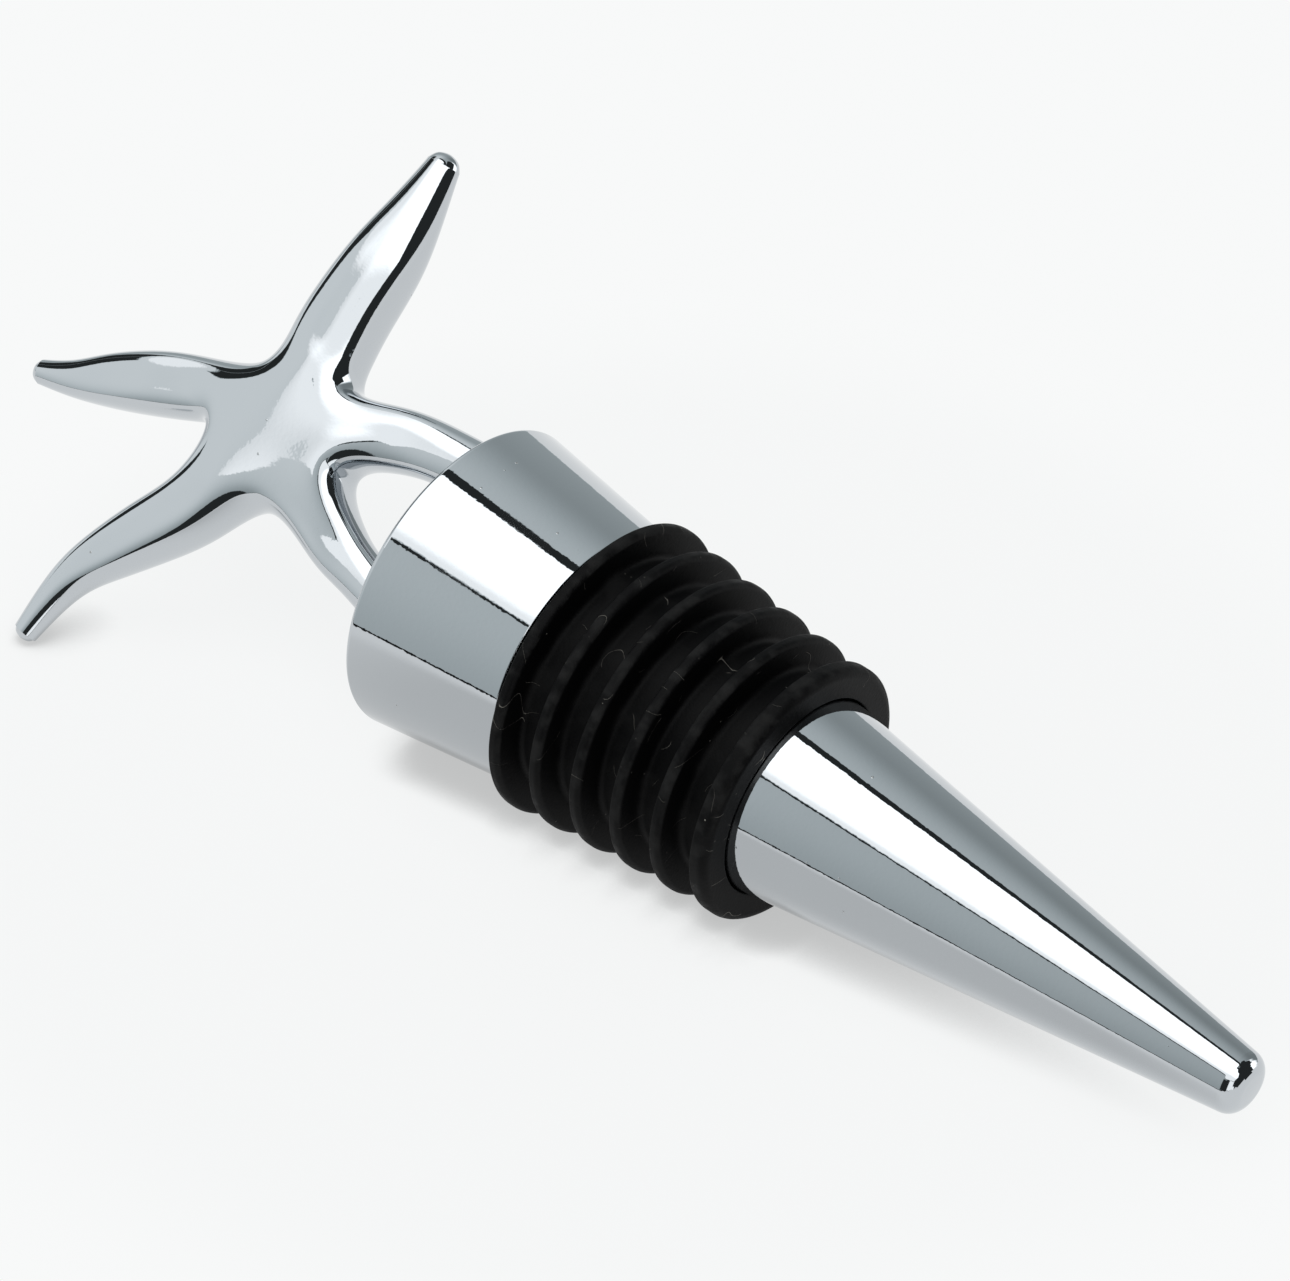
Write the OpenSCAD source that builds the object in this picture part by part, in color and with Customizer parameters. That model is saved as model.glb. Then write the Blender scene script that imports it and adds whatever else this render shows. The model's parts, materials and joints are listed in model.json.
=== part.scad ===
// Bottle stopper with a starfish finial. A chromed taper carries a ribbed rubber sleeve
// that seals in the bottle's neck, and the cast starfish screws off its top on a stud.
// Millimetres. Every piece is drawn upright on the stopper's axis, with z = 0 on the
// collar's top face and the tip below it, and is then laid on its side as it rests.

/* [Stopper body] */
// Radius of the collar's top edge
collar_r = 12; // [11.5:0.1:12.6]
// Length from the collar's top face to the tip
body_length = 71.4; // [60:0.1:90]
// Radius of the tip's end face
tip_r = 2.2; // [1.6:0.1:3]
// Radius of the rounded edges at the collar's top and at the tip
edge_round = 0.3; // [0.2:0.05:0.5]
// Radius of the stem at the bottom of the sleeve's groove
stem_r = 6.5; // [5.8:0.1:7]

/* [Sealing sleeve] */
// Distance from the collar's top face to the sleeve
sleeve_start = 12.6; // [12:0.1:13]
// Number of sealing fins
fin_count = 6; // [4:1:6]
// Distance from the collar's top face to the middle of the first fin
fin_start = 13.8; // [13.8:0.1:14.5]
// Distance from one fin to the next
fin_pitch = 3.45; // [3:0.05:3.45]
// Radius of the first fin, beside the collar
fin_r_first = 11.52; // [11:0.01:11.6]
// Radius of the last fin, towards the tip
fin_r_last = 10; // [9.6:0.1:10.4]
// How far the middle fins stand inside a straight line from first to last
fin_sag = 0.13; // [0:0.01:0.3]
// Thickness of a fin at its rim
fin_rim = 0.9; // [0.7:0.1:1.2]
// Height of a fin above the sleeve's wall
fin_height = 2.4; // [1.8:0.1:2.4]
// How far the last fin's rounded face bulges towards the tip
lead_bulge = 0.95; // [0.6:0.05:1.1]
// How far the surface presses into the soft fins that the stopper rests on
rest_press = 0.06; // [0:0.01:0.1]

/* [Screwed joint] */
// Radius of the foot plate that the starfish stands on
plate_r = 10; // [9.5:0.1:10.5]
// Thickness of the foot plate
plate_thickness = 1.5; // [1.2:0.1:2]
// Radius of the boss below the foot plate
boss_r = 4.5; // [4:0.1:5]
// Length of the boss below the foot plate
boss_length = 4.5; // [3:0.1:5]
// Radius of the threaded stud, over the thread
stud_r = 3; // [2.5:0.5:3]
// Length of stud below the boss
stud_reach = 9; // [8.5:0.5:12]
// Gap between the foot plate and its recess
plate_gap = 0.15; // [0.1:0.05:0.3]
// Gap between the stud and its holes
thread_gap = 0.05; // [0.03:0.01:0.08]

/* [Starfish] */
// Turn of the starfish about the stopper's axis when it is screwed home
starfish_turn = -134.1; // [-180:0.1:180]
// Thickness of the arms as a share of their width
arm_depth = 0.88; // [0.7:0.01:1]
// Radius of the starfish's middle
hub_r = 5.7; // [5:0.1:6.2]
// Half the thickness of the starfish's middle
hub_depth = 3; // [2.4:0.1:3.6]

/* [Hidden] */
$fn = 96;

chrome = [0.78, 0.80, 0.82];
steel = [0.62, 0.63, 0.64];
rubber = [0.07, 0.07, 0.08];

// The body is one long cone, so its radius falls by the same share all the way down.
taper = (collar_r - tip_r) / body_length;
taper_root = sqrt(1 + taper * taper);
taper_angle = atan(taper);
arc_steps = 6;
fin_end = fin_start + (fin_count - 1) * fin_pitch;
sleeve_end = fin_end + 0.35;
lip_gap = 0.06;
lip_slope = 0.5;
rim_round = 0.15;
lead_round = lead_bulge - 0.3;

plate_floor = plate_thickness + 0.05;
boss_floor = plate_floor + boss_length + 0.05;
boss_end = plate_thickness + boss_length;
stud_top = 0.5;
stud_end = boss_end + stud_reach;
hole_end = stud_end + 1;

// Each knuckle of an arm is [across, height, half width], from the middle out to the tip.
hub = [-1.5, 19.1];
arm_raised = [[-3, 19.1, 4], [-7, 19.2, 3.3], [-12, 19.4, 3], [-16.5, 19.2, 2.75],
              [-20.4, 19.1, 2.15], [-24, 19.2, 1.45]];
arm_top = [[-1.5, 20.9, 4], [-1.3, 25.9, 2.4], [0.3, 30.3, 2.4], [1.9, 34.1, 2],
           [3.3, 37.1, 1.4], [4.1, 39.5, 1]];
arm_resting = [[0.5, 19.8, 4], [5.5, 21.8, 2.8], [9.5, 24.2, 2.45], [13, 26.6, 1.95],
               [16.5, 28.3, 1.45], [20.5, 29, 1.05]];
leg_back = [[-2.5, 17.4, 4], [-4.2, 14, 2.9], [-5.9, 10.1, 2.4], [-6.7, 6.3, 2.2],
            [-7.1, -0.3, 2.1]];
leg_front = [[-0.5, 17.5, 4], [1.2, 14.1, 2.8], [2.7, 10.4, 2.25], [3.8, 7, 1.95],
             [5.7, 0.3, 1.8]];

// The stopper lies on its first and last fins, whose rims have rounded edges at these places.
rest_first = [fin_start + fin_rim / 2 - rim_round, fin_r_first - rim_round];
rest_last = [fin_end + lead_bulge - lead_round, fin_r_last - lead_round];
rest_step = rest_last - rest_first;
lie_angle = acos((lead_round - rim_round) / norm(rest_step))
            - atan2(rest_step[0], -rest_step[1]);
lie_height = rest_first * [sin(lie_angle), cos(lie_angle)] + rim_round - rest_press;

function cone_r(depth) = collar_r - taper * depth;

function wall_r(depth) =
    fin_r_first - fin_height
    - (fin_r_first - fin_r_last) * (depth - fin_start) / (fin_end - fin_start);

function fin_r(i) =
    let (share = i / (fin_count - 1))
    fin_r_first + (fin_r_last - fin_r_first) * share - 4 * fin_sag * share * (1 - share);

function fin_depth(i) = fin_start + i * fin_pitch;

// Points round part of a circle, in an outline's own plane.
function arc(middle, radius, from, to) =
    [for (i = [0:arc_steps])
        let (angle = from + (to - from) * i / arc_steps)
        middle + radius * [cos(angle), sin(angle)]];

// The middle of a rounded edge at that depth, which touches the cone's side.
function edge_middle(depth) = [cone_r(depth) - edge_round * taper_root, -depth];

// How far the tip and the top arm's end reach along the surface from the collar's top face.
tip_edge = edge_middle(body_length - edge_round);
tip_reach = tip_edge * [sin(lie_angle), -cos(lie_angle)] + edge_round;
top_end = arm_top[len(arm_top) - 1];
top_reach = top_end[1] * cos(lie_angle) + top_end[2]
            - top_end[0] * cos(starfish_turn) * sin(lie_angle);
middle_along = (tip_reach - top_reach) / 2;

// How far an arm's end reaches across the surface from the axis, on the side it is on.
function side_reach(end) =
    abs(end[0] * sin(starfish_turn))
    + end[2] * norm([sin(starfish_turn), arm_depth * cos(starfish_turn)]);

middle_across = (side_reach(arm_resting[5]) - side_reach(arm_raised[5])) / 2;

// One fin's outline, from the wall on its collar side round to its face towards the tip.
function fin_outline(i, face_depth, face_round) =
    let (radius = fin_r(i), back = fin_depth(i) - fin_rim / 2)
    concat(
        [[wall_r(back), -back]],
        arc([radius - rim_round, -back - rim_round], rim_round, 90, 0),
        arc([radius - face_round, -face_depth + face_round], face_round, 0, -90)
    );

function plain_fin(i) =
    let (face = fin_depth(i) + fin_rim / 2)
    concat(fin_outline(i, face, rim_round), [[wall_r(face), -face]]);

module as_it_lies()
    translate([-middle_along, middle_across, lie_height])
    rotate([0, lie_angle - 90, 0])
    children();

module body_section()
    polygon(concat(
        [[0, 0]],
        arc(edge_middle(edge_round), edge_round, 90, -taper_angle),
        arc(edge_middle(body_length - edge_round), edge_round, -taper_angle, -90),
        [[0, -body_length]]
    ));

module hole(radius, depth)
    translate([0, 0, -depth]) cylinder(r = radius, h = depth + 1);

module stopper_body() color(chrome)
    difference() {
        rotate_extrude() body_section();
        rotate_extrude()
            translate([stem_r, -sleeve_end])
            square([collar_r, sleeve_end - sleeve_start]);
        hole(plate_r + plate_gap, plate_floor);
        hole(boss_r + plate_gap, boss_floor);
        hole(stud_r + thread_gap, hole_end);
    }

// The last fin's face bulges towards the tip and turns back in to a lip on the cone.
module sleeve_section() {
    last = fin_count - 1;
    lip_r = cone_r(sleeve_end) + lip_gap;
    face = fin_end + lead_bulge;
    polygon(concat(
        [[stem_r, -sleeve_start], [wall_r(sleeve_start), -sleeve_start]],
        [for (i = [0:last - 1]) each plain_fin(i)],
        fin_outline(last, face, lead_round),
        [[lip_r + lip_slope, -face + lip_gap], [lip_r, -sleeve_end], [stem_r, -sleeve_end]]
    ));
}

// Everything below the surface that the stopper lies on, in the upright drawing.
module below_surface()
    rotate([0, 90 - lie_angle, 0])
    translate([0, 0, -lie_height - body_length])
    cube(2 * body_length, center = true);

module sealing_sleeve() color(rubber)
    difference() {
        rotate_extrude() sleeve_section();
        below_surface();
    }

module stud() color(steel)
    translate([0, 0, -stud_end])
    cylinder(r = stud_r, h = stud_end - stud_top);

module foot_plate() color(chrome)
    difference() {
        union() {
            translate([0, 0, -plate_thickness]) cylinder(r = plate_r, h = plate_thickness);
            translate([0, 0, -boss_end]) cylinder(r = boss_r, h = boss_length + 0.5);
        }
        translate([0, 0, -boss_end - 1])
            cylinder(r = stud_r + thread_gap, h = boss_end + 1 - stud_top + 0.05);
    }

module knuckle(place)
    translate([place[0], 0, place[1]])
    scale([1, arm_depth, 1])
    sphere(place[2], $fn = 20);

module arm(knuckles)
    for (i = [0:len(knuckles) - 2])
        hull() {
            knuckle(knuckles[i]);
            knuckle(knuckles[i + 1]);
        }

module starfish() color(chrome)
    rotate([0, 0, starfish_turn])
    difference() {
        union() {
            translate([hub[0], 0, hub[1]])
                scale([hub_r, hub_depth, hub_r])
                sphere(1, $fn = 32);
            for (knuckles = [arm_raised, arm_top, arm_resting, leg_back, leg_front])
                arm(knuckles);
        }
        translate([-collar_r, -collar_r, -collar_r])
            cube([2 * collar_r, 2 * collar_r, collar_r]);
    }

as_it_lies() stopper_body();
as_it_lies() sealing_sleeve();
as_it_lies() stud();
as_it_lies() foot_plate();
as_it_lies() starfish();
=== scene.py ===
"""Looks of a chromed bottle stopper with a starfish finial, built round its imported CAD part.

The shapes are drawn in millimetres on the stopper's own axis, standing upright with the
collar's top face at height 0, and are then laid where the CAD part's screw joint says.
"""
import json
import math

import bmesh
import bpy
import numpy as np
from mathutils import Matrix, Vector


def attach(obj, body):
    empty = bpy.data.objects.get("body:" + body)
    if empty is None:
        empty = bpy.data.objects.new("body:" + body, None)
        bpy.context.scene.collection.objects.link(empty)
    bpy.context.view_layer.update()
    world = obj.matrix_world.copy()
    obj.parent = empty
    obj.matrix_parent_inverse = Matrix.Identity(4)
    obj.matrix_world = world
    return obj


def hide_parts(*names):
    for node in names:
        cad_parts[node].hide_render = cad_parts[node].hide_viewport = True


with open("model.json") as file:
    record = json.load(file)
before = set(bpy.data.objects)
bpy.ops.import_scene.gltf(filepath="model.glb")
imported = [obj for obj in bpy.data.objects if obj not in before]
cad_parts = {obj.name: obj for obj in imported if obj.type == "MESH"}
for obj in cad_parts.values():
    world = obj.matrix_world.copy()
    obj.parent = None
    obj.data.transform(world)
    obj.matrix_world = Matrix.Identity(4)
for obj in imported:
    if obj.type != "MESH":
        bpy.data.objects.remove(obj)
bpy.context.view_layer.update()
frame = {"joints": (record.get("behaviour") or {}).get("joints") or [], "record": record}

MM = 0.001
TURN_STEPS = 192

# The CAD part's own sizes, in millimetres.
COLLAR_R, BODY_LENGTH, TIP_R = 12.0, 71.4, 2.2
STEM_R, SLEEVE_START, SLEEVE_END = 6.5, 12.6, 31.4
FIN_COUNT, FIN_START, FIN_PITCH, FIN_HEIGHT = 6, 13.8, 3.45, 2.4
FIN_SAG, FIN_RIM, LEAD_BULGE, LIP_GAP = 0.13, 0.9, 0.95, 0.06
PLATE_R, PLATE_THICKNESS, BOSS_R, BOSS_LENGTH = 10.0, 1.5, 4.5, 4.5
STUD_R, STUD_TOP, STUD_REACH = 3.0, -0.5, 9.0
PLATE_GAP, THREAD_GAP, FLOOR_GAP, HOLE_GAP = 0.15, 0.05, 0.05, 1.0
STARFISH_TURN = math.radians(-134.1)

TAPER = (COLLAR_R - TIP_R) / BODY_LENGTH
TAPER_ANGLE = math.degrees(math.atan(TAPER))
FIN_END = FIN_START + (FIN_COUNT - 1) * FIN_PITCH
PLATE_FLOOR = PLATE_THICKNESS + FLOOR_GAP
BOSS_END = PLATE_THICKNESS + BOSS_LENGTH
BOSS_FLOOR = BOSS_END + 2 * FLOOR_GAP
STUD_END = BOSS_END + STUD_REACH
HOLE_END = STUD_END + HOLE_GAP

# The thread, which only these looks have: the CAD part's stud and holes are plain.
THREAD_PITCH, THREAD_DEPTH = 1.0, 0.55


# ---------------------------------------------------------------- places in the frame

def mount_radius(name):
    """Radius in millimetres of one of the record's mounts."""
    mount = next(m for m in frame["record"]["mounts"] if m["name"] == name)
    return mount["dims"]["r_mm"]


def upright_matrix():
    """Takes the upright drawing in millimetres to the row frame, where the stopper lies."""
    joint = next(j for j in frame["joints"] if j["name"] == "finial_turn")
    axis = Vector(joint["axis"]).normalized()
    side = Vector((0, 1, 0))
    turned = Matrix((side.cross(axis), side, axis)).transposed().to_4x4()
    return Matrix.Translation(joint["pos_m"]) @ turned @ Matrix.Scale(MM, 4)


UPRIGHT = upright_matrix()
FIN_R_FIRST = mount_radius("neck_seal_full")
FIN_R_LAST = mount_radius("neck_seal_lead")


# ---------------------------------------------------------------- mesh helpers

# A point nearer the axis than this is on it, where an outline's end closes.
ON_AXIS = 1e-6


def new_piece(name, points, faces, material, body, node):
    """A smooth mesh from upright millimetre points, riding on a body for a CAD node."""
    mesh = bpy.data.meshes.new(name)
    mesh.from_pydata([UPRIGHT @ Vector(p) for p in points], [], faces)
    mesh.validate()
    mesh.shade_smooth()
    mesh.materials.append(material)
    piece = bpy.data.objects.new(name, mesh)
    bpy.context.scene.collection.objects.link(piece)
    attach(piece, body)
    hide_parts(node)
    return piece


def arc(middle, radius, start, end, steps=8):
    """Points round part of a circle, in an outline of (radius, height) points."""
    points = []
    for i in range(steps + 1):
        angle = math.radians(start + (end - start) * i / steps)
        points.append((middle[0] + radius * math.cos(angle),
                       middle[1] + radius * math.sin(angle)))
    return points


def held(outline, margin=0.05, longest=4.0):
    """The outline with points beside its corners, which keep smooth shading off flats."""
    points = []
    for (r0, z0), (r1, z1) in zip(outline, outline[1:]):
        points.append((r0, z0))
        length = math.hypot(r1 - r0, z1 - z0)
        if length <= 4 * margin:
            continue
        inner = max(1, round(length / longest))
        shares = [margin / length]
        shares += [i / inner for i in range(1, inner)]
        shares.append(1 - margin / length)
        points += [(r0 + (r1 - r0) * t, z0 + (z1 - z0) * t) for t in shares]
    points.append(outline[-1])
    return points


def turned_mesh(outline, steps=TURN_STEPS, radius_at=None):
    """Points and faces of an outline turned about the axis, its ends closed at radius 0."""
    points, rings, faces = [], [], []
    for r, z in outline:
        if r < ON_AXIS:
            rings.append([len(points)] * steps)
            points.append((0, 0, z))
            continue
        ring = []
        for i in range(steps):
            angle = 2 * math.pi * i / steps
            radius = radius_at(r, z, angle) if radius_at else r
            ring.append(len(points))
            points.append((radius * math.cos(angle), radius * math.sin(angle), z))
        rings.append(ring)
    for lower, upper in zip(rings, rings[1:]):
        for i in range(steps):
            j = (i + 1) % steps
            corners = list(dict.fromkeys((lower[i], upper[i], upper[j], lower[j])))
            if len(corners) > 2:
                faces.append(corners[::-1])
    return points, faces


# ---------------------------------------------------------------- stopper body

# Radii of the rounded edges at the collar's top and the tip, and of the groove's lips. The
# tip's is larger than the CAD part's, which makes the looks a little shorter there.
TOP_ROUND, TIP_ROUND, LIP_ROUND = 0.3, 1.35, 0.12
# The angle where the tip's rounding gives way to its low dome, and the dome's two heights.
TIP_END_ANGLE, DOME_SIDE, DOME_MIDDLE = -84, 0.03, 0.04
# The tapped hole: its drilled point, plain stretches, and its grooves' lands and depth.
DRILL_POINT, TAP_CLEAR, GROOVE_LAND, GROOVE_DEPTH = 0.8, 0.5, 0.15, 0.4


def cone_r(depth):
    return COLLAR_R - TAPER * depth


def body_outline():
    """Collar, groove and long taper, then back up the hole for the stud and foot plate."""
    root = math.sqrt(1 + TAPER * TAPER)
    top = (cone_r(TOP_ROUND) - TOP_ROUND * root, -TOP_ROUND)
    tip = (cone_r(BODY_LENGTH - TIP_ROUND) - TIP_ROUND * root, -BODY_LENGTH + TIP_ROUND)
    upper_lip = (cone_r(SLEEVE_START) - LIP_ROUND, -SLEEVE_START + LIP_ROUND)
    lower_lip = (cone_r(SLEEVE_END) - LIP_ROUND, -SLEEVE_END - LIP_ROUND)
    recess = PLATE_R + PLATE_GAP
    bore = BOSS_R + PLATE_GAP
    hole = STUD_R + THREAD_GAP
    outside = [(recess + LIP_ROUND, 0)]
    outside += arc(top, TOP_ROUND, 90, -TAPER_ANGLE)
    outside += arc(upper_lip, LIP_ROUND, 0, -90, 4)
    outside += [(STEM_R, -SLEEVE_START), (STEM_R, -SLEEVE_END)]
    outside += arc(lower_lip, LIP_ROUND, 90, 0, 4)
    outside += arc(tip, TIP_ROUND, -TAPER_ANGLE, TIP_END_ANGLE)
    outside += [(tip[0] / 2, -BODY_LENGTH - DOME_SIDE), (0, -BODY_LENGTH - DOME_MIDDLE)]
    inside = [(0, -HOLE_END - DRILL_POINT), (hole, -HOLE_END)]
    inside += thread_grooves(hole, -HOLE_END + TAP_CLEAR, -BOSS_FLOOR - TAP_CLEAR)
    inside += [(hole, -BOSS_FLOOR), (bore, -BOSS_FLOOR), (bore, -PLATE_FLOOR),
               (recess, -PLATE_FLOOR), (recess, -LIP_ROUND), (recess + LIP_ROUND, 0)]
    return held(outside), held(inside)


def thread_grooves(radius, bottom, top):
    """Zigzag of the tapped hole's grooves, outside its free bore. They are rings, not a helix."""
    points = []
    for i in range(int((top - bottom) / THREAD_PITCH)):
        start = bottom + i * THREAD_PITCH
        points += [(radius, start), (radius, start + GROOVE_LAND),
                   (radius + GROOVE_DEPTH, start + THREAD_PITCH / 2),
                   (radius, start + (THREAD_PITCH - GROOVE_LAND))]
    return points


def add_stopper_body(material):
    outside, inside = body_outline()
    points, faces = turned_mesh(outside)
    inner_points, inner_faces = turned_mesh(inside)
    shift = len(points)
    points += inner_points
    faces += [[i + shift for i in face] for face in inner_faces]
    return new_piece("stopper_body_looks", points, faces, material,
                     "stopper", "stopper_body")


# ---------------------------------------------------------------- sealing sleeve

# Radii of a fin's rim on the collar's side and on the tip's side, and of the last fin's
# face and the lip that it turns in to.
BACK_ROUND, FACE_ROUND, LEAD_ROUND, LEAD_LIP = 0.17, 0.42, LEAD_BULGE - 0.3, 0.12
# Fillets at a fin's foot, on the collar's side and on the tip's side.
BACK_FILLET, FACE_FILLET = 0.35, 0.45
# The sleeve's ends stand clear of the groove's, so that no two faces lie in one plane.
START_CLEAR, END_CLEAR = 0.02, 0.1


def wall_r(depth):
    share = (depth - FIN_START) / (FIN_END - FIN_START)
    return FIN_R_FIRST - FIN_HEIGHT - (FIN_R_FIRST - FIN_R_LAST) * share


def fin_r(i):
    share = i / (FIN_COUNT - 1)
    return FIN_R_FIRST + (FIN_R_LAST - FIN_R_FIRST) * share - 4 * FIN_SAG * share * (1 - share)


def fin_points(i, face, face_round):
    """One fin: a crisp rim edge on the collar's side, a softer one towards the tip."""
    radius, back = fin_r(i), FIN_START + i * FIN_PITCH - FIN_RIM / 2
    foot = wall_r(back)
    points = arc((foot + BACK_FILLET, -back + BACK_FILLET), BACK_FILLET, -180, -90, 5)
    points += arc((radius - BACK_ROUND, -back - BACK_ROUND), BACK_ROUND, 90, 0, 4)
    points += arc((radius - face_round, -face + face_round), face_round, 0, -90, 7)
    return points


def sleeve_outline():
    top = -SLEEVE_START - START_CLEAR
    bottom = -SLEEVE_END + END_CLEAR
    points = [(STEM_R, top), (wall_r(SLEEVE_START), top)]
    for i in range(FIN_COUNT - 1):
        face = FIN_START + i * FIN_PITCH + FIN_RIM / 2
        points += fin_points(i, face, FACE_ROUND)
        foot = (wall_r(face) + FACE_FILLET, -face - FACE_FILLET)
        points += arc(foot, FACE_FILLET, 90, 180, 5)
    face = FIN_END + LEAD_BULGE
    lip_r = cone_r(SLEEVE_END) + LIP_GAP
    points += fin_points(FIN_COUNT - 1, face, LEAD_ROUND)
    points += arc((lip_r + LEAD_LIP, -face + LEAD_LIP), LEAD_LIP, -90, -180, 4)
    points += [(lip_r, bottom), (STEM_R, bottom)]
    return held(points, longest=1.5)


def add_sealing_sleeve(material):
    points, faces = turned_mesh(sleeve_outline())
    surface = press_flat(points)
    return new_piece("sealing_sleeve_looks", surface, faces, material,
                     "stopper", "sealing_sleeve")


def press_flat(points):
    """The rubber gives a little where it rests, so nothing goes below the surface."""
    back = UPRIGHT.inverted()
    pressed = []
    for p in points:
        place = UPRIGHT @ Vector(p)
        place.z = max(place.z, 0.0)
        pressed.append(tuple(back @ place))
    return pressed


# ---------------------------------------------------------------- screwed joint

# The stud's thread: how far inside the boss it begins, its rows of points a millimetre, its
# flanks' steepness, its root's width, and how far from the stud's end it stops.
THREAD_HIDDEN, THREAD_ROWS, FLANK, ROOT, LEAD_IN = 0.2, 14, 1.25, 0.12, 0.6
# The stud: its points round, its top edge, and its end's chamfer and step.
STUD_STEPS, STUD_EDGE, END_CHAMFER, END_STEP = 96, 0.05, 0.9, 0.1
# The foot plate: its edges' radius, the corner where its boss begins, and its thickness
# over the end of the stud's hole.
PLATE_EDGE, BOSS_CORNER, BOSS_FLARE, STUD_COVER = 0.25, 0.05, 0.2, 0.45


def thread_r(r, z, angle):
    """Radius of the stud's thread. Its height falls as the angle grows: a left-hand helix."""
    if r < STUD_R or z > -BOSS_END + THREAD_HIDDEN:
        return r
    phase = (z / THREAD_PITCH + angle / (2 * math.pi)) % 1.0
    crest = min(1.0, max(0.0, FLANK * abs(2 * phase - 1) - ROOT))
    return STUD_R - THREAD_DEPTH * (1 - crest)


def add_stud(material):
    start, bottom = -BOSS_END + THREAD_HIDDEN, -STUD_END
    length = start - bottom - LEAD_IN
    rows = int(length * THREAD_ROWS)
    outline = [(0, STUD_TOP), (STUD_R - STUD_EDGE, STUD_TOP), (STUD_R, STUD_TOP - STUD_EDGE)]
    outline += [(STUD_R, start - length * i / rows) for i in range(rows + 1)]
    outline += [(STUD_R - THREAD_DEPTH - STUD_EDGE, bottom + END_STEP),
                (STUD_R - END_CHAMFER, bottom), (0, bottom)]
    points, faces = turned_mesh(outline, STUD_STEPS, thread_r)
    return new_piece("stud_looks", points, faces, material, "stud", "stud")


def add_foot_plate(material):
    edge, hole = PLATE_EDGE, STUD_R + THREAD_GAP
    corner = (BOSS_R + BOSS_FLARE, -PLATE_THICKNESS - BOSS_CORNER)
    outline = [(0, 0)]
    outline += arc((PLATE_R - edge, -edge), edge, 90, 0)
    outline += arc((PLATE_R - edge, -PLATE_THICKNESS + edge), edge, 0, -90)
    outline += arc(corner, BOSS_CORNER, 90, 180, 2)
    outline += arc((BOSS_R - edge, -BOSS_END + edge), edge, 0, -90)
    outline += [(hole, -BOSS_END), (hole, -STUD_COVER), (0, -STUD_COVER)]
    points, faces = turned_mesh(held(outline, longest=2.5))
    return new_piece("foot_plate_looks", points, faces, material,
                     "finial", "foot_plate")


# ---------------------------------------------------------------- starfish

# Each knuckle is (across, height, half width, share of that for the half thickness).
HUB = (-1.5, 19.1)
HUB_DEPTH = 2.75
ARMS = {
    "leg_back": [(-4.3, 14.0, 2.9, 0.88), (-5.9, 10.1, 2.4, 0.88), (-6.7, 6.3, 2.2, 0.88),
                 (-7.05, 2.4, 2.1, 0.88)],
    "leg_front": [(1.1, 14.3, 2.8, 0.88), (2.7, 10.4, 2.25, 0.88), (3.8, 7.0, 1.95, 0.88),
                  (5.0, 2.6, 1.85, 0.88)],
    "resting": [(3.2, 20.6, 4.0, 0.68), (5.9, 21.95, 2.8, 0.88), (9.5, 24.2, 2.45, 0.88),
                (13.0, 26.6, 1.95, 0.88), (16.5, 28.3, 1.45, 0.88), (20.5, 29.0, 1.05, 0.88)],
    "top": [(-2.1, 24.1, 3.3, 0.76), (-1.2, 27.0, 2.4, 0.88), (0.3, 30.7, 2.4, 0.88),
            (1.9, 34.1, 2.0, 0.88), (3.3, 37.1, 1.4, 0.88), (4.1, 39.5, 1.0, 0.88)],
    "raised": [(-6.5, 19.1, 3.8, 0.76), (-9.2, 19.3, 3.1, 0.88), (-12.5, 19.4, 3.0, 0.88),
               (-16.5, 19.2, 2.75, 0.88), (-20.4, 19.1, 2.15, 0.88), (-24.0, 19.2, 1.45, 0.88)],
}
# The hollow between each arm and the next, going round the hub.
NOTCHES = [(-1.7, 12.06), (3.71, 16.39), (1.0, 24.45), (-5.6, 23.1), (-7.25, 15.02)]
# The web's half thickness at each hollow, and how far in from the edge its face starts.
NOTCH_DEPTHS = [2.4, 2.15, 2.15, 2.2, 2.25]
NOTCH_LEAN = 0.85
# Points round an arm. Its section stands outside an ellipse at the four corners by this
# share of its width, which squares its sides, and of its depth, which flattens its faces.
RING = 8
SIDE_SQUARENESS = 0.06
FACE_FLATNESS = 0.2
# A tip's rings in degrees from its last knuckle, and how much of a full round end it gets,
# which keeps it inside the CAD part's box.
TIP_ANGLES, TIP_REACH = (20, 42, 64), 0.96
# A leg's last rings: height over the foot plate's face, and flare into the braze.
FOOT_RINGS, FOOT_CLOSE = ((0.6, 0.02), (0.2, 0.2), (0.0, 0.5), (-0.5, 0.5)), 0.1
SMOOTHING = 4


def starfish_place(across, depth, height):
    """A point of the starfish's own plane, turned about the axis into the upright drawing."""
    c, s = math.cos(STARFISH_TURN), math.sin(STARFISH_TURN)
    return (across * c - depth * s, across * s + depth * c, height)


def ring_points(middle, heading, width, depth, flatness=1.0):
    """Eight points round an arm, the first on its left side and the third in front."""
    side = Vector((-heading.y, heading.x))
    points = []
    for i in range(RING):
        angle = 2 * math.pi * i / RING
        across, out = math.cos(angle), math.sin(angle)
        if i % 2:
            across *= 1 + SIDE_SQUARENESS * flatness
            out *= 1 + FACE_FLATNESS * flatness
        place = middle + side * width * across
        points.append((place.x, depth * out, place.y))
    return points


def arm_heading(knuckles, i):
    before = Vector(knuckles[max(i - 1, 0)][:2])
    after = Vector(knuckles[min(i + 1, len(knuckles) - 1)][:2])
    return (after - before).normalized()


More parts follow.
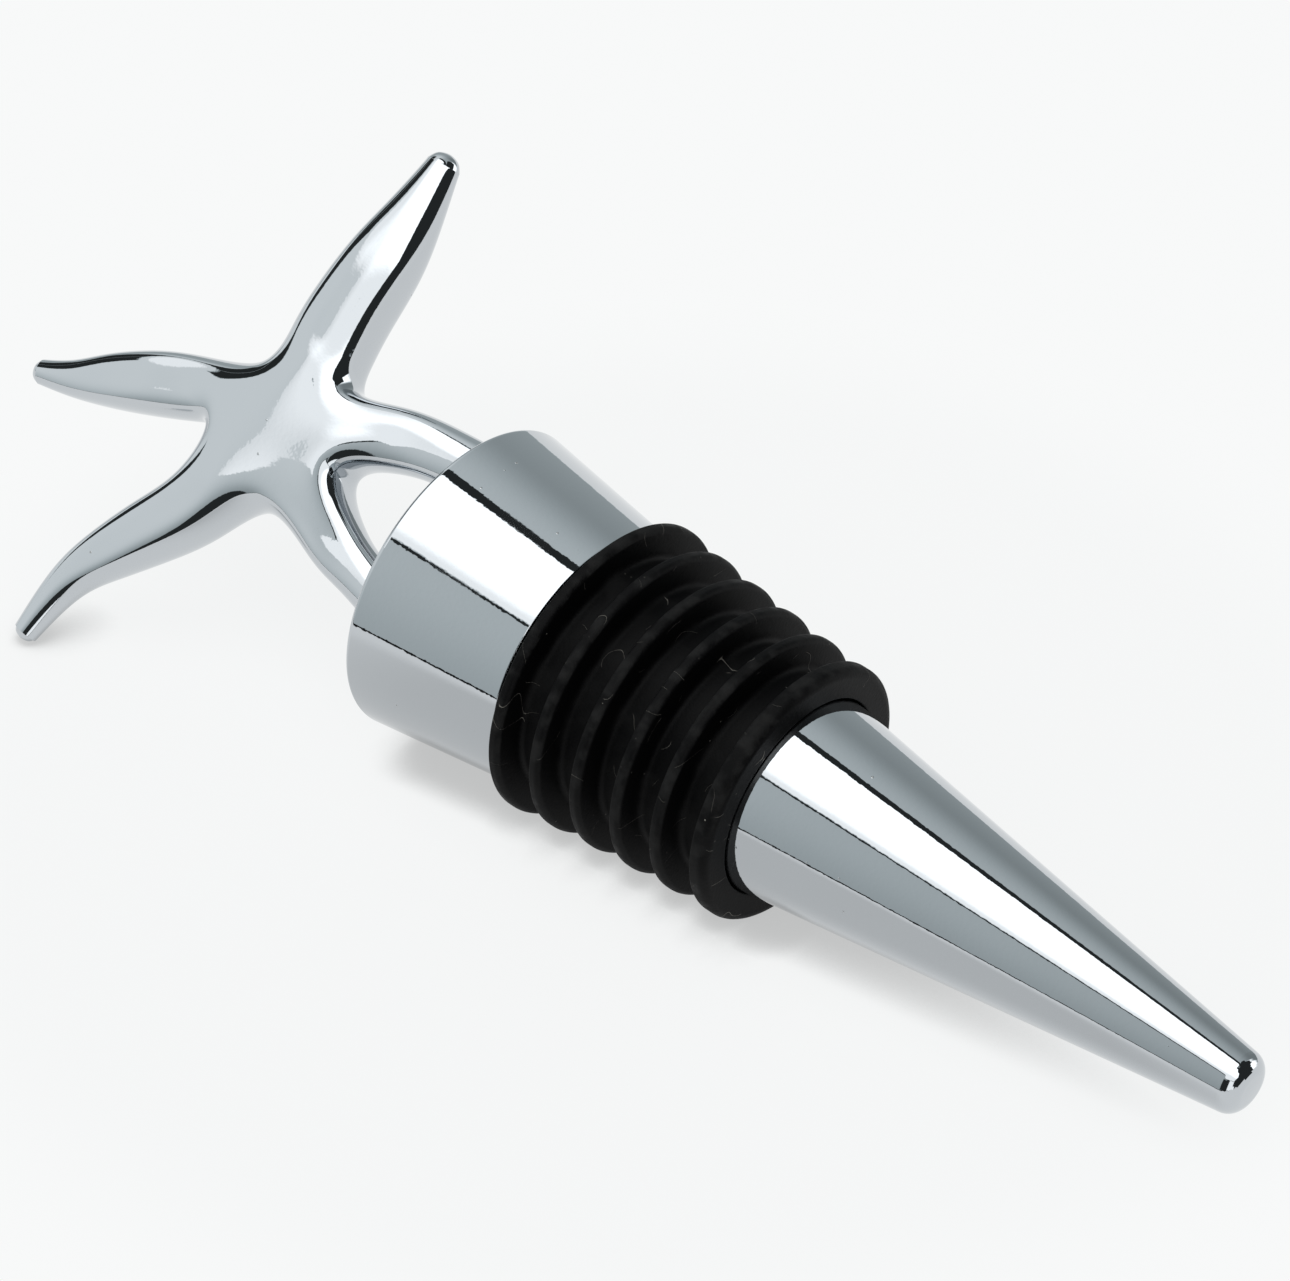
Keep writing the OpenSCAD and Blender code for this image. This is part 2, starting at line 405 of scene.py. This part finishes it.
class Cage:
    """Vertices and four-sided faces, with the places that the smooth surface goes through."""

    def __init__(self):
        self.points, self.faces = [], []

    def add(self, point):
        self.points.append(tuple(point))
        return len(self.points) - 1

    def join(self, ring, following):
        for i in range(RING):
            j = (i + 1) % RING
            self.faces.append((ring[i], ring[j], following[j], following[i]))

    def cap(self, ring, pole):
        for i in range(0, RING, 2):
            self.faces.append((pole, ring[i - 1], ring[i], ring[i + 1]))

    def fitted(self, rounds=14):
        """Control points whose Catmull-Clark surface goes through the wanted places."""
        wanted = np.array(self.points)
        beside = [set() for _ in self.points]
        opposite = [[] for _ in self.points]
        for face in self.faces:
            for i, v in enumerate(face):
                beside[v] |= {face[i - 1], face[(i + 1) % 4]}
                opposite[v].append(face[(i + 2) % 4])
        control = wanted.copy()
        for _ in range(rounds):
            limit = np.array([
                (len(b) ** 2 * control[v] + 4 * control[list(b)].sum(0) + control[o].sum(0))
                / (len(b) * (len(b) + 5))
                for v, (b, o) in enumerate(zip(beside, opposite))])
            control += wanted - limit
        return control


def starfish_cage():
    cage = Cage()
    notches = []
    for (across, height), depth in zip(NOTCHES, NOTCH_DEPTHS):
        lean = (Vector(HUB) - Vector((across, height))).normalized() * NOTCH_LEAN
        front = cage.add((across + lean.x, depth, height + lean.y))
        middle = cage.add((across, 0, height))
        back = cage.add((across + lean.x, -depth, height + lean.y))
        notches.append((front, middle, back))
    crests = [arm_onto(cage, name, notches[i], notches[i - 1])
              for i, name in enumerate(ARMS)]
    front_hub = cage.add((HUB[0], HUB_DEPTH, HUB[1]))
    back_hub = cage.add((HUB[0], -HUB_DEPTH, HUB[1]))
    for i, notch in enumerate(notches):
        following = crests[(i + 1) % len(crests)]
        cage.faces.append((front_hub, crests[i][0], notch[0], following[0]))
        cage.faces.append((back_hub, crests[i][1], notch[2], following[1]))
    return cage


def arm_onto(cage, name, left, right):
    """Adds one arm between the notches on its left and right, and returns its crest's start."""
    knuckles = ARMS[name]
    across, height, width, share = knuckles[0]
    front = cage.add((across, width * share, height))
    back = cage.add((across, -width * share, height))
    ring = [left[1], left[0], front, right[0], right[1], right[2], back, left[2]]
    for i in range(1, len(knuckles)):
        across, height, width, share = knuckles[i]
        heading = arm_heading(knuckles, i)
        flatness = min(1.0, 0.5 * (len(knuckles) - 1 - i))
        following = [cage.add(p) for p in ring_points(
            Vector((across, height)), heading, width, width * share, flatness)]
        cage.join(ring, following)
        ring = following
    if name.startswith("leg"):
        ends = foot_rings(knuckles)
    else:
        ends = tip_rings(knuckles)
    for middle, heading, width, depth in ends[:-1]:
        following = [cage.add(p) for p in ring_points(middle, heading, width, depth, 0)]
        cage.join(ring, following)
        ring = following
    pole = ends[-1]
    cage.cap(ring, cage.add((pole.x, 0, pole.y)))
    return front, back


def tip_rings(knuckles):
    """The round end of an arm, past its last knuckle."""
    across, height, width, share = knuckles[-1]
    heading = arm_heading(knuckles, len(knuckles) - 1)
    middle = Vector((across, height))
    rings = []
    for degrees in TIP_ANGLES:
        near, narrower = math.sin(math.radians(degrees)), math.cos(math.radians(degrees))
        rings.append((middle + heading * width * near * TIP_REACH, heading, width * narrower,
                      width * narrower * share))
    return rings + [middle + heading * width * TIP_REACH]


def foot_rings(knuckles):
    """A leg's foot flares into its braze on the foot plate and ends inside the plate."""
    across, height, width, share = knuckles[-1]
    heading = arm_heading(knuckles, len(knuckles) - 1)
    reach = heading / -heading.y
    straight = Vector((0, -1))
    rings = []
    for rise, flare in FOOT_RINGS:
        middle = Vector((across, height)) + reach * (height - rise)
        rings.append((middle, straight, width + flare, width * share + flare))
    rings.append(rings[-1][0] + straight * FOOT_CLOSE)
    return rings


def add_starfish(material):
    cage = starfish_cage()
    points = [starfish_place(*p) for p in cage.fitted()]
    piece = new_piece("starfish_looks", points, cage.faces, material,
                      "finial", "starfish")
    face_outwards(piece.data)
    smooth = piece.modifiers.new("smooth", "SUBSURF")
    smooth.levels = smooth.render_levels = SMOOTHING
    seen = piece.evaluated_get(bpy.context.evaluated_depsgraph_get())
    piece.data = baked(piece, seen)
    return piece


def baked(piece, seen):
    """The smoothed mesh in the modifier's place, with nothing below the resting surface."""
    solid = bpy.data.meshes.new_from_object(seen)
    piece.modifiers.clear()
    for vertex in solid.vertices:
        vertex.co.z = max(vertex.co.z, 0.0)
    return solid


def face_outwards(mesh):
    form = bmesh.new()
    form.from_mesh(mesh)
    bmesh.ops.recalc_face_normals(form, faces=form.faces)
    form.to_mesh(mesh)
    form.free()


# ---------------------------------------------------------------- node helpers

# The share of a speck's radius that is fully opaque.
SPECK_CORE = 0.6


class Nodes:
    """Short names for the few kinds of node that the materials and the studio use."""

    def __init__(self, tree):
        self.tree = tree

    def feed(self, value, socket):
        if hasattr(value, "node"):
            self.tree.links.new(value, socket)
        else:
            socket.default_value = value

    def math(self, operation, *values):
        node = self.tree.nodes.new("ShaderNodeMath")
        node.operation = operation
        for value, socket in zip(values, node.inputs):
            self.feed(value, socket)
        return node.outputs[0]

    def vector(self, operation, *values):
        node = self.tree.nodes.new("ShaderNodeVectorMath")
        node.operation = operation
        for value, socket in zip(values, node.inputs):
            self.feed(value, socket)
        single = operation in ("LENGTH", "DOT_PRODUCT")
        return node.outputs["Value" if single else "Vector"]

    def between(self, value, start, end, low=0.0, high=1.0):
        """Rises smoothly from low to high as the value goes from start to end."""
        node = self.tree.nodes.new("ShaderNodeMapRange")
        node.interpolation_type = "SMOOTHSTEP"
        for given, name in ((value, "Value"), (start, "From Min"), (end, "From Max"),
                            (low, "To Min"), (high, "To Max")):
            self.feed(given, node.inputs[name])
        return node.outputs[0]

    def band(self, value, start, end, soft):
        """1 where the value lies from start to end, and 0 elsewhere, with soft edges."""
        rise = self.between(value, start, self.math("ADD", start, soft))
        fall = self.between(value, self.math("SUBTRACT", end, soft), end, 1.0, 0.0)
        return self.math("MULTIPLY", rise, fall)

    def blend(self, share, first, second):
        """First where the share is 0, second where it is 1."""
        node = self.tree.nodes.new("ShaderNodeMix")
        for given, socket in zip((share, first, second),
                                 (node.inputs[0], node.inputs[2], node.inputs[3])):
            self.feed(given, socket)
        return node.outputs[0]

    def tint(self, share, first, second):
        """The same as blend, for colours."""
        node = self.tree.nodes.new("ShaderNodeMix")
        node.data_type = "RGBA"
        for given, socket in zip((share, first, second),
                                 (node.inputs[0], node.inputs[6], node.inputs[7])):
            self.feed(given, socket)
        return node.outputs[2]

    def largest(self, *values):
        """The largest of several values."""
        most = values[0]
        for value in values[1:]:
            most = self.math("MAXIMUM", most, value)
        return most

    def product(self, *values):
        result = values[0]
        for value in values[1:]:
            result = self.math("MULTIPLY", result, value)
        return result

    def place(self):
        """The piece's own coordinates, in metres."""
        return self.tree.nodes.new("ShaderNodeTexCoord").outputs["Object"]

    def axes(self, where):
        """The x, y and z of a place or direction."""
        node = self.tree.nodes.new("ShaderNodeSeparateXYZ")
        self.feed(where, node.inputs[0])
        return node.outputs

    def camera_ray(self):
        """1 for what the camera sees itself, 0 for what lights the object or shows in it."""
        return self.tree.nodes.new("ShaderNodeLightPath").outputs["Is Camera Ray"]

    def noise(self, where, scale, detail=2.0):
        node = self.tree.nodes.new("ShaderNodeTexNoise")
        node.inputs["Scale"].default_value = scale
        node.inputs["Detail"].default_value = detail
        self.feed(where, node.inputs["Vector"])
        return node.outputs[0]

    def specks(self, where, scale, size):
        """Small round specks, about one in each cell of a random pattern."""
        node = self.tree.nodes.new("ShaderNodeTexVoronoi")
        node.inputs["Scale"].default_value = scale
        self.feed(where, node.inputs["Vector"])
        return self.between(node.outputs["Distance"], size * SPECK_CORE, size, 1.0, 0.0)

    def bump(self, height, distance, shader):
        node = self.tree.nodes.new("ShaderNodeBump")
        node.inputs["Strength"].default_value = 1.0
        node.inputs["Distance"].default_value = distance
        self.feed(height, node.inputs["Height"])
        self.feed(node.outputs[0], shader.inputs["Normal"])

    def mixed_output(self, share, first, second, output):
        """Sends two shaders' mix to an output node: the first where the share is 0."""
        node = self.tree.nodes.new("ShaderNodeMixShader")
        for given, socket in zip((share, first, second), node.inputs):
            self.feed(given, socket)
        self.feed(node.outputs[0], self.tree.nodes[output].inputs["Surface"])


# ---------------------------------------------------------------- materials

CHROME, CHROME_DUST = (0.545, 0.572, 0.597, 1), (0.42, 0.43, 0.43, 1)
# The second rubber colour is a lighter grey: patches in the valleys, and at the rims wear and a
# painted highlight.
RUBBER, RUBBER_GREY_AND_HIGHLIGHT = (0.0010, 0.0010, 0.0012, 1), (0.013, 0.013, 0.013, 1)
LINT = (0.2, 0.19, 0.17, 1)
STEEL, STEEL_DULL = (0.56, 0.56, 0.54, 1), (0.40, 0.40, 0.38, 1)
RUBBER_SHINE = 0.09
# Roughness from the cleanest to the dullest places.
CHROME_ROUGHNESS, CHROME_DUST_ROUGHNESS = (0.018, 0.07), 0.6
RUBBER_ROUGHNESS, STEEL_ROUGHNESS = (0.52, 0.8), (0.22, 0.42)
# Heights of the bump, in millimetres.
CAST_RIPPLE, TURNED_RIPPLE, CHROME_GRAIN, CHROME_DUST_HEIGHT = 0.03, 0.012, 0.0021, 0.02
RUBBER_GRAIN, LINT_HEIGHT, STEEL_GRAIN = 0.02, 0.04, 0.02
# How far above the sleeve's wall the valleys' lighter grey patches end and the rims lie, in
# millimetres, and how strong the valleys' grey is beside the rims'. At the rims the grey is
# wear and a painted highlight.
VALLEY_FROM, VALLEY_TO, VALLEY_SHARE = 0.1, 0.9, 0.5
RIM_FROM, RIM_TO, RIM_SOFT = FIN_HEIGHT - 0.35, FIN_HEIGHT + 0.3, 0.15
# Lint follows the places where a noise is at its middle, within these distances.
LINT_CORE, LINT_EDGE, LINT_SHARE = 0.0012, 0.0022, 0.7


def new_material(name):
    material = bpy.data.materials.new(name)
    material.use_nodes = True
    shader = material.node_tree.nodes["Principled BSDF"]
    return material, Nodes(material.node_tree), shader


def chrome_material(name, ripple):
    """Polished plate: long faint ripples, fine grain, hazy smudges and a few dust specks."""
    material, nodes, shader = new_material(name)
    shader.inputs["Metallic"].default_value = 1.0
    where = nodes.place()
    haze = nodes.between(nodes.noise(where, 90, 4), 0.5, 0.75, *CHROME_ROUGHNESS)
    dust = nodes.product(nodes.specks(where, 420, 0.045),
                         nodes.between(nodes.noise(where, 150), 0.5, 0.62))
    nodes.feed(nodes.blend(dust, haze, CHROME_DUST_ROUGHNESS), shader.inputs["Roughness"])
    nodes.feed(nodes.tint(dust, CHROME, CHROME_DUST), shader.inputs["Base Color"])
    long_wave = nodes.product(nodes.noise(where, 160, 1), ripple)
    grain = nodes.product(nodes.noise(where, 2900, 1), CHROME_GRAIN)
    height = nodes.math("ADD", long_wave, grain)
    height = nodes.math("ADD", height, nodes.product(dust, CHROME_DUST_HEIGHT))
    nodes.bump(height, MM, shader)
    return material


def above_wall(nodes, where):
    """Height in millimetres over the sleeve's wall, at the bottom of its valleys."""
    axis = (UPRIGHT.to_3x3() @ Vector((0, 0, 1))).normalized()
    from_top = nodes.vector("SUBTRACT", where, tuple(UPRIGHT.translation))
    depth = nodes.vector("DOT_PRODUCT", from_top, tuple(-axis))
    radius = nodes.vector("LENGTH", nodes.vector("CROSS_PRODUCT", from_top, tuple(axis)))
    slope = (FIN_R_FIRST - FIN_R_LAST) / (FIN_END - FIN_START)
    wall_at_top = (wall_r(FIN_START) + slope * FIN_START) * MM
    wall = nodes.math("SUBTRACT", wall_at_top, nodes.product(depth, slope))
    return nodes.math("DIVIDE", nodes.math("SUBTRACT", radius, wall), MM)


def rubber_grey_and_highlight(nodes, where):
    """Lighter grey, in patches: in the valleys, and at the rims, where it is wear and a painted
    highlight.
    """
    above = above_wall(nodes, where)
    valley = nodes.between(above, VALLEY_FROM, VALLEY_TO, 1.0, 0.0)
    rim = nodes.band(above, RIM_FROM, RIM_TO, RIM_SOFT)
    # Lighter grey patches in the valleys.
    valley_grey = nodes.product(valley, nodes.between(nodes.noise(where, 260, 4), 0.45, 0.7))
    # At the rims the grey is wear and also a painted highlight along their edges.
    worn_and_highlight = nodes.product(rim, nodes.between(nodes.noise(where, 700, 3), 0.4, 0.7))
    return nodes.largest(nodes.product(valley_grey, VALLEY_SHARE), worn_and_highlight)


def rubber_bits(nodes, where):
    """Pale specks, and short hairs of lint along the middle line of a noise."""
    specks = nodes.product(nodes.specks(where, 900, 0.07),
                           nodes.between(nodes.noise(where, 230), 0.52, 0.66))
    thread = nodes.math("ABSOLUTE", nodes.math("SUBTRACT", nodes.noise(where, 330, 0), 0.5))
    lint = nodes.product(nodes.between(thread, LINT_CORE, LINT_EDGE, 1.0, 0.0),
                         nodes.between(nodes.noise(where, 520, 0), 0.6, 0.64))
    return nodes.largest(specks, nodes.product(lint, LINT_SHARE))


def rubber_material():
    """Matte black rubber with specks and lint. It is lighter grey in patches in the valleys,
    and at the rims, where the grey is wear and a painted highlight.
    """
    material, nodes, shader = new_material("sleeve_rubber")
    where = nodes.place()
    grey_and_highlight = rubber_grey_and_highlight(nodes, where)
    bits = rubber_bits(nodes, where)
    # The grey includes the rims' painted highlight.
    colour = nodes.tint(grey_and_highlight, RUBBER, RUBBER_GREY_AND_HIGHLIGHT)
    nodes.feed(nodes.tint(bits, colour, LINT), shader.inputs["Base Color"])
    nodes.feed(nodes.blend(grey_and_highlight, *RUBBER_ROUGHNESS), shader.inputs["Roughness"])
    shader.inputs["Specular IOR Level"].default_value = RUBBER_SHINE
    grain = nodes.product(nodes.noise(where, 5200, 3), RUBBER_GRAIN)
    nodes.bump(nodes.math("ADD", grain, nodes.product(bits, LINT_HEIGHT)), MM, shader)
    return material


def steel_material():
    """Bright zinc plate, greyer and rougher in patches, with a fine even grain."""
    material, nodes, shader = new_material("stud_steel")
    shader.inputs["Metallic"].default_value = 1.0
    where = nodes.place()
    dull = nodes.between(nodes.noise(where, 500, 4), 0.4, 0.65)
    nodes.feed(nodes.tint(dull, STEEL, STEEL_DULL), shader.inputs["Base Color"])
    nodes.feed(nodes.blend(dull, *STEEL_ROUGHNESS), shader.inputs["Roughness"])
    nodes.bump(nodes.product(nodes.noise(where, 4000, 2), STEEL_GRAIN), MM, shader)
    return material


# ---------------------------------------------------------------- studio

# The table and the background past it, as the camera sees them.
PALE = (0.937, 0.946, 0.946, 1)
MATTE = 0.9
# The table ends a little in front of the stopper and past its tip. Its front edge is a
# near-black strip, a painted shadow line.
TABLE_FRONT, TABLE_END, TABLE_FAR, TABLE_EDGE = -0.062, 0.115, 2.0, 0.0016
PAINTED_EDGE_SHADOW = 0.01
# The table's diffuse colour and its own glow, and the share of the glow that is left close
# to the object, as a painted shade. How far from the object that shade reaches, and how open a
# place is where the shade is deepest and where it ends.
FLOOR_SHARE, FLOOR_GLOW, FLOOR_SHADE = 0.08, 0.9, 0.6
SHADE_REACH, SHADE_DEEP, SHADE_END = 0.0042, 0.45, 0.92
# Distances from the origin between which the shaded table turns into plain glow.
PLAIN_FROM, PLAIN_TO = 0.045, 0.062
# The share of its brightness that the table in front of the body has in reflections.
REFLECTED_TABLE = 0.76

# Directions round the stopper. Angles round X are in degrees, 0 level in front, 90 overhead
# and 180 level behind. Places along X run from -1, at the starfish's end, to 1, at the tip's.
CARD_FRONT, CARD_BEHIND, CARD_ENDS = (0.52, 0.78), (0.8, 0.4), (1.25, 0.72)
SOFTBOX_LEVELS, SOFTBOX_END_SHARE = (1.42, 2.1), 0.66
SOFTBOX_LEFT, SOFTBOX_HIGHEST, SOFTBOX_DROP = 39.0, 47.2, 11.2
SOFTBOX_BACK = (98.5, 99.3)
# The dark gaps in front of the softbox and behind it, and how dark they are.
FRONT_GAP, FRONT_GAP_SOFT, FRONT_GAP_END = 2.0, 0.3, (-0.24, -0.21)
BACK_GAP, BACK_GAP_SOFT, BACK_GAP_END = (98.8, 105.5), 0.4, (-0.43, -0.40)
GAP_LEVEL, PATCH_SOFT = 0.03, 2.0
# Dark patches, as ranges of azimuth and of height in degrees. The last lies on both sides
# of the direction of the starfish's end, where the azimuth passes from 180 to -180.
DARK_PATCHES = [((-90, -57), (-40, 33)), ((-31, 42), (-40, 24)), ((-12, 60), (20, 66))]
END_PATCH = ((157, 181), (14, 42))
# The surroundings are a little cooler where they are dim.
DIM_COLOUR, LIT_COLOUR, DIM_TO_LIT = (0.90, 1.0, 1.02, 1), (0.99, 1.0, 1.0, 1), (0.3, 1.4)

CAMERA_AZIMUTH, CAMERA_ELEVATION, CAMERA_DISTANCE = 41.70, 38.22, 0.4218
CAMERA_AIM = (-0.00013, 0.00124, 0.01328)
CAMERA_LENS, CAMERA_SENSOR = 167.44, 36


def add_staging(name, corners, material):
    """A flat face of the studio, which isn't part of the object."""
    mesh = bpy.data.meshes.new(name)
    mesh.from_pydata(corners, [], [(0, 1, 2, 3)])
    mesh.materials.append(material)
    staging = bpy.data.objects.new(name, mesh)
    bpy.context.scene.collection.objects.link(staging)
    return staging


def add_floor():
    corners = [(-TABLE_FAR, TABLE_FRONT, 0), (TABLE_END, TABLE_FRONT, 0),
               (TABLE_END, TABLE_FAR, 0), (-TABLE_FAR, TABLE_FAR, 0)]
    return add_staging("floor", corners, floor_material())


def floor_material():
    """A pale table that glows softly itself, which keeps its shadows short and faint. Its glow
    is dimmed close to the object by ambient occlusion, as a painted contact shadow.
    """
    material, nodes, shader = new_material("floor")
    where = nodes.place()
    shader.inputs["Base Color"].default_value = (FLOOR_SHARE, FLOOR_SHARE, FLOOR_SHARE, 1)
    shader.inputs["Roughness"].default_value = MATTE
    shader.inputs["Specular IOR Level"].default_value = 0.0
    shader.inputs["Emission Color"].default_value = PALE
    # Painted contact shadow: the glow is dimmed where ambient occlusion finds the object close.
    painted_shade_ao = nodes.tree.nodes.new("ShaderNodeAmbientOcclusion")
    painted_shade_ao.inputs["Distance"].default_value = SHADE_REACH
    level = nodes.between(painted_shade_ao.outputs["AO"], SHADE_DEEP, SHADE_END,
                          FLOOR_GLOW * FLOOR_SHADE, FLOOR_GLOW)
    nodes.feed(nodes.product(level, front_dimming(nodes, where)),
               shader.inputs["Emission Strength"])
    glow = nodes.tree.nodes.new("ShaderNodeEmission")
    glow.inputs["Color"].default_value = PALE
    away = nodes.between(nodes.vector("LENGTH", where), PLAIN_FROM, PLAIN_TO)
    nodes.mixed_output(away, shader.outputs[0], glow.outputs[0], "Material Output")
    return material


def front_dimming(nodes, where):
    """The chrome sees the table in front of the body a little dimmer than the camera does."""
    x, y, _ = nodes.axes(where)
    in_front = nodes.between(y, -0.012, 0.0, 1.0, 0.0)
    beside = nodes.between(x, -0.035, -0.015)
    reflected = nodes.math("SUBTRACT", 1.0, nodes.camera_ray())
    return nodes.blend(nodes.product(in_front, beside, reflected), 1.0, REFLECTED_TABLE)


def add_table_edge():
    """The table's front edge, a near-black strip that paints a shadow line, which shows in the
    chrome only.
    """
    corners = [(-TABLE_FAR, TABLE_FRONT, 0), (TABLE_END, TABLE_FRONT, 0),
               (TABLE_END, TABLE_FRONT, TABLE_EDGE), (-TABLE_FAR, TABLE_FRONT, TABLE_EDGE)]
    material, _, shader = new_material("table_edge")
    # Painted shadow: the edge strip is near-black.
    shader.inputs["Base Color"].default_value = (PAINTED_EDGE_SHADOW, PAINTED_EDGE_SHADOW, PAINTED_EDGE_SHADOW, 1)
    shader.inputs["Roughness"].default_value = MATTE
    edge = add_staging("table_edge", corners, material)
    edge.visible_camera = False
    edge.visible_shadow = False
    edge.visible_diffuse = False


def add_camera():
    azimuth, elevation = math.radians(CAMERA_AZIMUTH), math.radians(CAMERA_ELEVATION)
    back = Vector((math.sin(azimuth) * math.cos(elevation),
                   -math.cos(azimuth) * math.cos(elevation), math.sin(elevation)))
    data = bpy.data.cameras.new("camera")
    data.sensor_width = CAMERA_SENSOR
    data.lens = CAMERA_LENS
    data.clip_start, data.clip_end = 0.01, 20
    camera = bpy.data.objects.new("camera", data)
    bpy.context.scene.collection.objects.link(camera)
    camera.location = Vector(CAMERA_AIM) + back * CAMERA_DISTANCE
    camera.rotation_mode = "QUATERNION"
    camera.rotation_quaternion = (-back).to_track_quat("-Z", "Y")
    bpy.context.scene.camera = camera


def add_world():
    """Cards and a softbox by direction, which the chrome reflects. The camera itself sees
    a plain pale background past the table."""
    scene = bpy.context.scene
    scene.world = bpy.data.worlds.new("studio")
    scene.world.use_nodes = True
    nodes = Nodes(scene.world.node_tree)
    towards = nodes.tree.nodes.new("ShaderNodeTexCoord").outputs["Generated"]
    x, y, z = nodes.axes(towards)
    round_x = nodes.math("DEGREES", nodes.math("ARCTAN2", z, nodes.product(y, -1.0)))
    azimuth = nodes.math("DEGREES", nodes.math("ARCTAN2", y, x))
    rise = nodes.math("DEGREES", nodes.math("ARCSINE", z))
    level = card_light(nodes, x, round_x)
    level = softbox_light(nodes, level, x, rise, round_x)
    level = dark_gaps(nodes, level, x, azimuth, rise, round_x)
    studio = nodes.tree.nodes["Background"]
    nodes.feed(level, studio.inputs["Strength"])
    lit = nodes.between(level, *DIM_TO_LIT)
    nodes.feed(nodes.tint(lit, DIM_COLOUR, LIT_COLOUR), studio.inputs["Color"])
    plain = nodes.tree.nodes.new("ShaderNodeBackground")
    plain.inputs["Color"].default_value = PALE
    nodes.mixed_output(nodes.camera_ray(), studio.outputs[0], plain.outputs[0],
                       "World Output")
    scene.view_settings.view_transform = "Standard"


def card_light(nodes, x, round_x):
    """Grey cards in front and behind, brighter towards the starfish's end."""
    front = nodes.between(round_x, -30, 45, *CARD_FRONT)
    behind = nodes.between(round_x, 104, 150, *CARD_BEHIND)
    cards = nodes.blend(nodes.between(round_x, 60, 100), front, behind)
    return nodes.product(cards, nodes.between(x, -0.55, 0.05, *CARD_ENDS))


def softbox_edge(nodes, x):
    """Angle round X of the softbox's front edge, lowest towards the starfish and the tip."""
    rise = nodes.between(x, -0.27, -0.22, SOFTBOX_LEFT, SOFTBOX_HIGHEST)
    return nodes.math("SUBTRACT", rise, nodes.between(x, -0.04, 0.12, 0.0, SOFTBOX_DROP))


def softbox_light(nodes, level, x, rise, round_x):
    """The softbox overhead, dimmer at the starfish's end, and a bright side past the tip."""
    edge = softbox_edge(nodes, x)
    front = nodes.between(round_x, edge, nodes.math("ADD", edge, 1.0))
    behind = nodes.between(round_x, *SOFTBOX_BACK, 1.0, 0.0)
    reach = nodes.largest(nodes.between(x, -0.457, -0.446), nodes.between(rise, 44, 46))
    box = nodes.product(front, behind, reach)
    bright = nodes.product(nodes.between(round_x, 50, 58, *SOFTBOX_LEVELS),
                           nodes.between(x, -0.55, -0.35, SOFTBOX_END_SHARE, 1.0))
    side = nodes.product(nodes.between(x, 0.3, 0.5), nodes.between(rise, -8, -4))
    return nodes.blend(nodes.largest(box, side), level, bright)


def dark_gaps(nodes, level, x, azimuth, rise, round_x):
    """The unlit gaps and patches, which draw the chrome's dark lines and spots."""
    edge = softbox_edge(nodes, x)
    front = nodes.band(round_x, nodes.math("SUBTRACT", edge, FRONT_GAP), edge, FRONT_GAP_SOFT)
    front = nodes.product(front, nodes.between(x, *FRONT_GAP_END))
    behind = nodes.band(round_x, *BACK_GAP, BACK_GAP_SOFT)
    behind = nodes.product(behind, nodes.between(x, *BACK_GAP_END))
    patches = [patch(nodes, azimuth, rise, *ranges) for ranges in DARK_PATCHES]
    patches.append(patch(nodes, nodes.math("ABSOLUTE", azimuth), rise, *END_PATCH))
    return nodes.blend(nodes.largest(front, behind, *patches), level, GAP_LEVEL)


def patch(nodes, azimuth, rise, azimuths, rises):
    return nodes.product(nodes.band(azimuth, *azimuths, PATCH_SOFT),
                         nodes.band(rise, *rises, PATCH_SOFT))


def main():
    add_stopper_body(chrome_material("plated_body", TURNED_RIPPLE))
    add_sealing_sleeve(rubber_material())
    add_stud(steel_material())
    add_foot_plate(chrome_material("plated_foot", TURNED_RIPPLE))
    add_starfish(chrome_material("plated_starfish", CAST_RIPPLE))
    add_floor()
    add_table_edge()
    add_world()
    add_camera()


main()
